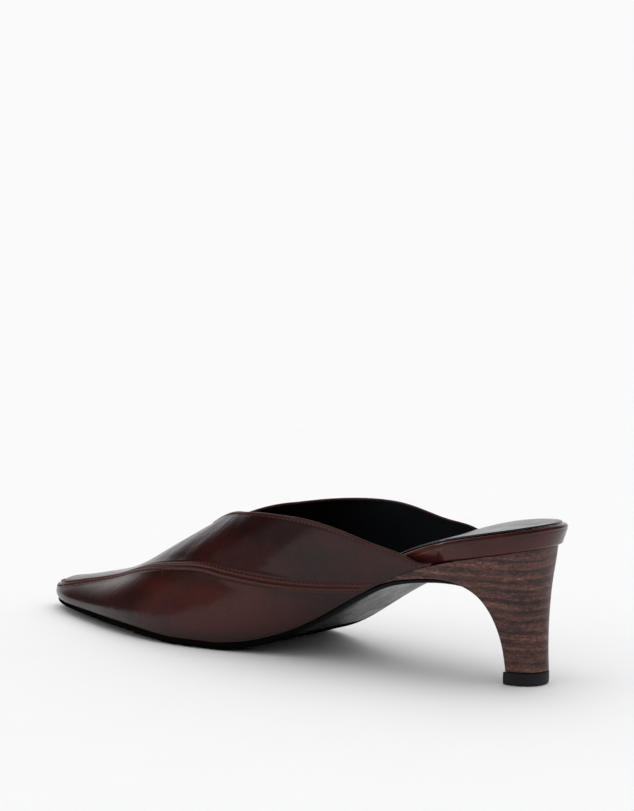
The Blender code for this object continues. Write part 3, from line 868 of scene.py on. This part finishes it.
def make_lining(material):
    shares = np.append(column_shares()[:-1:3], 1.0)
    grids = []
    for side in (1, -1):
        top = topline(shares, side)
        rows = top[:, None] * (1 - (1 - np.linspace(0.0, 1.0, 34)) ** 1.4)[None, :]
        grid = wall(shares[:, None], rows, side)
        ahead = np.maximum(shares - THROAT, 0.0)[:, None] * LENGTH
        from_edge = np.hypot((top[:, None] - rows) * wall_height(shares, side)[:, None], ahead)
        depth = UPPER_WALL - (UPPER_WALL - EDGE_THICKNESS) * mound(from_edge, 0.0, EDGE_SKIVE)
        shaped = grid - grid_normals(grid, shares, side) * depth[..., None]
        shaped[:, 0] += (0, 0, 0.0001)
        grids.append(shaped)
    lining = join_sides("lining", grids, material, 1)


def edge_path():
    """Points along the topline from one tail round the throat to the other, with wall normals."""
    shares = TAIL + (THROAT - TAIL) * np.sin(np.linspace(0.0, np.pi / 2, 420))
    lines, normals = [], []
    for side, order in ((1, slice(None)), (-1, slice(-2, None, -1))):
        rows = topline(shares, side)
        lines.append(wall(shares, rows, side)[order])
        normals.append(wall_normal(shares, rows, side)[order])
    return np.concatenate(lines), np.concatenate(normals)


def even_path(points, ups, step):
    """Points at an even step along a line, with the unit vectors carried over."""
    run = length_along(points)
    at = step * np.arange(int(run[-1] / step) + 1)
    spots = np.stack([np.interp(at, run, values) for values in points.T], -1)
    held = np.stack([np.interp(at, run, values) for values in ups.T], -1)
    return spots, unit(held)


def tube(name, centres, up, radius, material, around):
    """A round tube along centres; up tells where its first points lie."""
    along = unit(np.gradient(centres, axis=0))
    across = unit(np.cross(along, up))
    over = np.cross(across, along)
    angles = np.linspace(0.0, 2 * np.pi, around, endpoint=False)[None, :, None]
    ring = across[:, None] * np.cos(angles) + over[:, None] * np.sin(angles)
    points = (centres[:, None] + ring * radius[:, None, None]).reshape(-1, 3)
    faces = ring_faces(len(centres), around)
    faces.append(tuple(range(around)))
    faces.append(tuple(range(len(points) - around, len(points))))
    return make_piece(name, points, faces, material, 60)


def stitch_mesh(name, centres, along, up, material, lean):
    """Short rounded threads, each laid along the seam and leaning a little across it."""
    around = 6
    angles = np.linspace(0.0, 2 * np.pi, around, endpoint=False)
    points, faces = [], []
    for centre, way, over in zip(centres, unit(along), up):
        side = unit(np.cross(way, over))
        way = way * np.cos(lean) + side * np.sin(lean)
        side = np.cross(way, over)
        base = len(points)
        for ahead, thick, rise in STITCH_PROFILE:
            middle = centre + way * ahead * STITCH_LENGTH / 2 + over * rise * STITCH_RADIUS
            for angle in angles:
                ray = side * np.cos(angle) + over * np.sin(angle)
                points.append(middle + ray * thick * STITCH_RADIUS)
        faces += ring_faces(len(STITCH_PROFILE), around, base)
        faces.append(tuple(range(base, base + around)))
        faces.append(tuple(range(len(points) - around, len(points))))
    piece = make_piece(name, points, faces, material, 0)


def make_edge(material):
    centres, up = even_path(*edge_path(), EDGE_STEP)
    for _ in range(4):
        centres[1:-1] = (centres[:-2] + 2 * centres[1:-1] + centres[2:]) / 4
    centres = centres - up * (EDGE_THICKNESS * 0.5 - 0.00006)
    order = np.arange(len(centres))
    from_tail = EDGE_STEP * np.minimum(order, order[::-1])
    radius = EDGE_RADIUS * (0.35 + 0.65 * between(from_tail, (0.0, EDGE_FADE)))
    edge = tube("topline_edge", centres, up, radius, material, 14)


def seam_row(away):
    def row(share, side):
        return seam_middle(share) + away / wall_speed(share, seam_middle(share), side)

    return row


def lay_stitches(name, run, first, last, material, lean, row):
    """Stitches at half steps of the pitch along a row, so that they lie between its needle holes."""
    spots, ways, overs = [], [], []
    for side in (1, -1):
        fine = np.append(np.linspace(first, 0.9 * last, 1500), np.linspace(0.9 * last, last, 900)[1:])
        along = run(fine, side)
        at = STITCH_PITCH * (0.5 + np.arange(int(along[0] / STITCH_PITCH)))
        share = np.interp(at, along[::-1], fine[::-1])
        rise = row(share, side)
        kept = (rise * wall_height(share, side) > STITCH_CLEAR) & (rise < 0.995)
        share, rise = share[kept], rise[kept]
        ahead, behind = np.minimum(share + 5e-4, 1.0), share - 5e-4
        over = wall_normal(share, rise, side)
        spots.append(wall(share, rise, side) + over * STITCH_LIFT)
        ways.append((wall(ahead, row(ahead, side), side) - wall(behind, row(behind, side), side)) * side)
        overs.append(over)
    stitch_mesh(name, np.concatenate(spots), np.concatenate(ways), np.concatenate(overs), material, lean)


def make_threads(material):
    """The row just below the topline, then one row on each side of the seam."""
    lay_stitches("topline_stitches", edge_run, TAIL + TOP_ROW_LEAD, THROAT, material, TOP_ROW_LEAN, edge_row)
    for name, away in (("seam_stitches_upper", STITCH_ROW), ("seam_stitches_lower", -STITCH_ROW)):
        lay_stitches(name, seam_run, SEAM_END, 1.0, material, SEAM_LEAN, seam_row(away))


def rear_shares(stop, count):
    round_part = HEEL_ROUND * np.linspace(0.012, 1.0, count // 3) ** 2
    return np.concatenate([round_part, np.linspace(HEEL_ROUND, stop, count - count // 3 + 1)[1:]])


def front_shares(start, count, stop):
    crowd = count // 4
    tip = TOE_ROUND + (stop - TOE_ROUND) * (1 - np.linspace(1.0, 0.0, crowd) ** 2)
    return np.concatenate([np.linspace(start, TOE_ROUND, count - crowd + 1)[:-1], tip])


def make_footbed(material):
    """The wrapped rim: flat side leaning out, a thin raised line and a rounded top edge."""
    rear, tucked = TAIL - TUCK, TAIL - 0.2 * TUCK
    shares = np.concatenate([rear_shares(rear, 60), front_shares(tucked, 110, FOOTBED_END)])
    inset = between(shares, (rear, TAIL - 0.3 * TUCK)) * (UPPER_WALL + 2 * FIT_GAP)
    shaped = 1 - 0.6 * between(shares, BOARD_THINS)
    # Each point's distance in from the outline, and its share of the rim's height
    section = [(0.0026, 0.0), (0.0020, 0.03), (0.00175, 0.10), (0.0011, 0.36), (0.00045, 0.62)]
    section += [(0.00024, 0.70), (0.00030, 0.735), (0.00016, 0.765), (0.00012, 0.80)]
    for angle in np.linspace(0.0, np.pi / 2, 8):
        section.append((0.0017 - 0.0016 * np.cos(angle), 0.80 + 0.20 * np.sin(angle)))
    section.append((0.0034, 1.0))
    loops = []
    for side in (1, -1):
        line = []
        for pull, up in section:
            x, y = outline(shares, side, inset + pull * shaped)
            height = board_height(shares, side)
            line.append(np.stack([x, y, feather(share_of(x)) + up * height], -1))
        loops.append(np.stack(line, 1))
    piece = loft_sides("footbed_wrap", loops, material)
    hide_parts("footbed")


def make_sock(material):
    """A thin sheet with a rounded edge, dished a little towards its middle."""
    shares = np.concatenate([rear_shares(TAIL, 50), front_shares(TAIL + TUCK, 100, 0.96)])
    inset = SOCK_MARGIN + between(shares, (TAIL - TUCK, TAIL)) * UPPER_WALL
    rows = ((0.0, 0.0), (0.0, 0.0003), (0.0002, 0.00058), (0.0006, 0.0007), (0.0030, 0.0007))
    loops = []
    for side in (1, -1):
        line = []
        for pull, rise in rows:
            x, y = outline(shares, side, inset + pull)
            top = feather(share_of(x)) + board_height(share_of(x), side)
            line.append(np.stack([x, y, top + FIT_GAP + rise], -1))
        loops.append(np.stack(line, 1))
    edges = [loop[:, -1].copy() for loop in loops]
    middle = (edges[0] + edges[1]) / 2 - (0, 0, SOCK_CUP)
    for i in (0, 1):
        bowls = []
        for part in (0.8, 0.6, 0.4, 0.2, 0.02):
            bowl = middle + (edges[i] - middle) * part
            bowl[:, 2] = middle[:, 2] + (edges[i][:, 2] - middle[:, 2]) * (0.5 * part + 0.5 * part**2)
            bowls.append(bowl)
        loops[i] = np.concatenate([loops[i], np.stack(bowls, 1)], 1)
    piece = loft_sides("sock_lining", loops, material)
    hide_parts("sock")


def make_outsole(material):
    """The sole from the heel's breast to the toe: each section runs from its top down round its edge."""
    curve_x, curve_z, run = arch_curve()
    stations = np.linspace(0.0, run[-2], 130)
    x, z = curve_x(stations), curve_z(stations)
    start = share_of(x[-1])
    shares = front_shares(start, 150, 0.9999)[1:]
    x = np.concatenate([x, place(shares)])
    z = np.concatenate([z, sole_underside(shares)])
    share = share_of(x)
    z = np.maximum(z, 0.0)
    slope_x, slope_z = np.gradient(x), np.gradient(z)
    length = np.hypot(slope_x, slope_z)
    normal = np.stack([-slope_z / length, slope_x / length], -1)
    normal[share > SOLE_LEVEL] = (0.0, 1.0)
    forward = between(share, (WEDGE_END, ARCH_JOINS[2]))
    thick = sole_thickness(share)
    # Each point's distance in from the edge, and its share of the sole's thickness
    section = [(0.0, 1.0), (0.0, 0.97), (-0.0002, 0.90), (-0.00025, 0.74), (-0.0001, 0.52)]
    section += [(0.0004, 0.30), (0.0011, 0.13), (0.0021, 0.03), (0.0036, 0.0), (0.0100, 0.0)]
    breast = BREAST_INSET * (1 - between(share, BREAST_SPAN))
    loops = []
    for side in (1, -1):
        line = []
        for pull, depth in section:
            plan_x, plan_y = outline(share, side, pull)
            heel_y = side * (heel_width(x, way_up(x, z), side) - pull / 2 - breast)
            px = np.where(share > TOE_ROUND, plan_x, x) + normal[:, 0] * thick * depth
            py = forward * plan_y + (1 - forward) * heel_y
            py = side * np.maximum(side * py, 0.0002)
            line.append(np.stack([px, py, z + normal[:, 1] * thick * depth], -1))
        loops.append(np.stack(line, 1))
    piece = loft_sides("outsole_edge", loops, material)
    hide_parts("outsole")


def make_heel(material):
    """Level sections from the tip up to the seat, each cut off in front by the breast's curve."""
    curve_x, curve_z, run = arch_curve()
    stations = np.linspace(0.0, run[-1], 900)
    x, z = curve_x(stations), curve_z(stations)
    slope_x, slope_z = np.gradient(x), np.gradient(z)
    length = np.hypot(slope_x, slope_z)
    depth = BREAST_COVER + (FLAP_THICKNESS + FIT_GAP - BREAST_COVER) * between(share_of(x), BREAST_SPAN)
    front_x, front_z = x - slope_z / length * depth, z + slope_x / length * depth
    up = way_up(front_x, front_z)
    kept = (front_x < place(WEDGE_END)) & (np.maximum.accumulate(up) <= up + 1e-9)
    front_x, up = front_x[kept], up[kept]
    pick = np.linspace(0, len(up) - 1, 90).astype(int)
    levels = np.concatenate([[0.0], up[pick[1:]], [1.0]])
    floor = HEEL_TIP_HEIGHT + FIT_GAP
    around = np.linspace(0.02, 1.0, 60)
    loops = []
    for level in levels:
        reach = np.interp(level, up, front_x) if level < 1 else place(WEDGE_END)
        ring_x = heel_back(level) + (reach - heel_back(level)) * around**2
        ring = []
        for side in (1, -1):
            y = side * heel_width(ring_x, level, side)
            height = floor + level * (feather(share_of(ring_x)) - FIT_GAP - floor)
            ring.append(np.stack([ring_x, y, height], -1))
        loops.append(np.concatenate([ring[0], ring[1][::-1]]))
    piece = loft("heel_block", loops, material, 40)
    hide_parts("heel")


def make_heel_tip(material):
    curve_x, _, _ = arch_curve()
    front = float(curve_x(0.0)) + TIP_LEAD
    back = heel_back(0.0)
    around = np.linspace(0.02, 1.0, 60)
    loops = []
    # Each section's height, and how far it draws in
    for z, pull in (
        (0.0, 0.0006),
        (0.00015, 0.00025),
        (0.0005, 0.0),
        (0.0024, -0.00005),
        (0.0044, 0.0),
        (0.0048, 0.0001),
        (HEEL_TIP_HEIGHT, 0.0004),
    ):
        x = back + pull + (front - back - 2 * pull) * around**2
        ring = []
        for side in (1, -1):
            y = side * (heel_width(x - pull, 0.0, side) + 0.0002 - pull)
            ring.append(np.stack([x, y, np.full_like(x, z)], -1))
        loops.append(np.concatenate([ring[0], ring[1][::-1]]))
    piece = loft("heel_top_piece", loops, material, 50)
    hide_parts("heel_tip")


# Studio


def make_floor(material):
    count, radius = 64, 60.0
    angles = np.linspace(0.0, 2 * np.pi, count, endpoint=False)
    points = [(radius * np.cos(a), radius * np.sin(a), -0.0001) for a in angles]
    floor = make_piece("floor", points, [tuple(range(count))], material, 0, None)


def level_frame(aim):
    right = unit(np.cross(aim, (0, 0, 1)))
    return right, np.cross(right, aim)


def make_camera():
    turn, tilt = np.radians(CAMERA_AZIMUTH), np.radians(CAMERA_HEIGHT_ANGLE)
    out = np.array([-np.sin(turn) * np.cos(tilt), np.cos(turn) * np.cos(tilt), np.sin(tilt)])
    spot = np.array(CAMERA_TARGET) + out * CAMERA_DISTANCE
    aim = -out
    for _ in range(6):
        right, up = level_frame(aim)
        seen = np.array([-out @ right, -out @ up]) / (-out @ aim)
        aim = unit(aim + (seen - CAMERA_TARGET_SHIFT) @ np.array([right, up]))
    right, up = level_frame(aim)
    roll = np.radians(CAMERA_ROLL)
    right, up = np.cos(roll) * right + np.sin(roll) * up, np.cos(roll) * up - np.sin(roll) * right
    data = bpy.data.cameras.new("camera")
    data.sensor_fit = "VERTICAL"
    data.sensor_height = 36.0
    data.lens = CAMERA_LENS
    data.clip_end = 200.0
    camera = bpy.data.objects.new("camera", data)
    bpy.context.scene.collection.objects.link(camera)
    placed = np.eye(4)
    placed[:3] = np.stack([right, up, -aim, spot], 1)
    camera.matrix_world = Matrix(placed.tolist())
    bpy.context.scene.camera = camera


def light_room(tree):
    """A white backdrop to the camera; as light, bright low down behind the shoe and dim elsewhere."""
    room = Nodes(tree, "Generated")
    rises = []
    for levels in (ROOM_NEAR_SIDE, ROOM_FAR_SIDE):
        stops = [(where, (level, level, level * 1.02)) for where, level in levels]
        rises.append(room.ramp(room.along("Z"), stops))
    light = room.blend(room.facing(ROOM_BRIGHT_WAY, FAR_SIDE_SPAN), *rises)
    light = room.blend(room.facing(PANEL_WAY, PANEL_SPAN), light, (PANEL_LEVEL,) * 3)
    to_camera = room.node("ShaderNodeLightPath").outputs["Is Camera Ray"]
    room.link(room.blend(to_camera, light, BACKDROP), tree.nodes["Background"].inputs["Color"])


def make_studio():
    world = bpy.data.worlds.new("studio")
    world.use_nodes = True
    light_room(world.node_tree)
    bpy.context.scene.world = world
    bpy.context.scene.view_settings.view_transform = "Standard"
    for name, strength, spread in (("dome", DOME_STRENGTH, 180.0), ("overhead", SUN_STRENGTH, SUN_SPREAD)):
        sun = bpy.data.lights.new(name, "SUN")
        sun.energy = strength
        sun.angle = np.radians(spread)
        lamp = bpy.data.objects.new(name, sun)
        bpy.context.scene.collection.objects.link(lamp)
        lamp.rotation_euler = Vector(SUN_FROM).to_track_quat("Z", "Y").to_euler()
        lamp.visible_glossy = False


def main():
    brown = leather("brushed_leather", BROWN_TONES)
    wrap = leather("wrap_leather", WRAP_TONES, 0.2, False)
    edge = plain_leather("edge_leather", (0.050, 0.017, 0.013), 0.42, 0.4, 1500.0, 0.25)
    black = plain_leather("lining_leather", (0.0024, 0.0030, 0.0048), 0.6, 0.6, 1100.0, 0.3)
    sock = plain_leather("sock_leather", (0.012, 0.0125, 0.0140), 0.27, 0.22, 1300.0, 0.9)
    make_upper(brown)
    make_lining(black)
    make_edge(edge)
    make_threads(thread("sewing_thread", (0.090, 0.026, 0.018)))
    make_footbed(wrap)
    make_sock(sock)
    make_outsole(satin_sole("black_sole", (0.0035, 0.0037, 0.0044), 0.24, 0.09, True))
    make_heel(stacked_wood("stacked_wood"))
    make_heel_tip(satin_sole("black_rubber", (0.010, 0.0105, 0.013), 0.55, 0.3))
    make_floor(floor_paper("floor_paper"))
    make_studio()
    make_camera()


main()
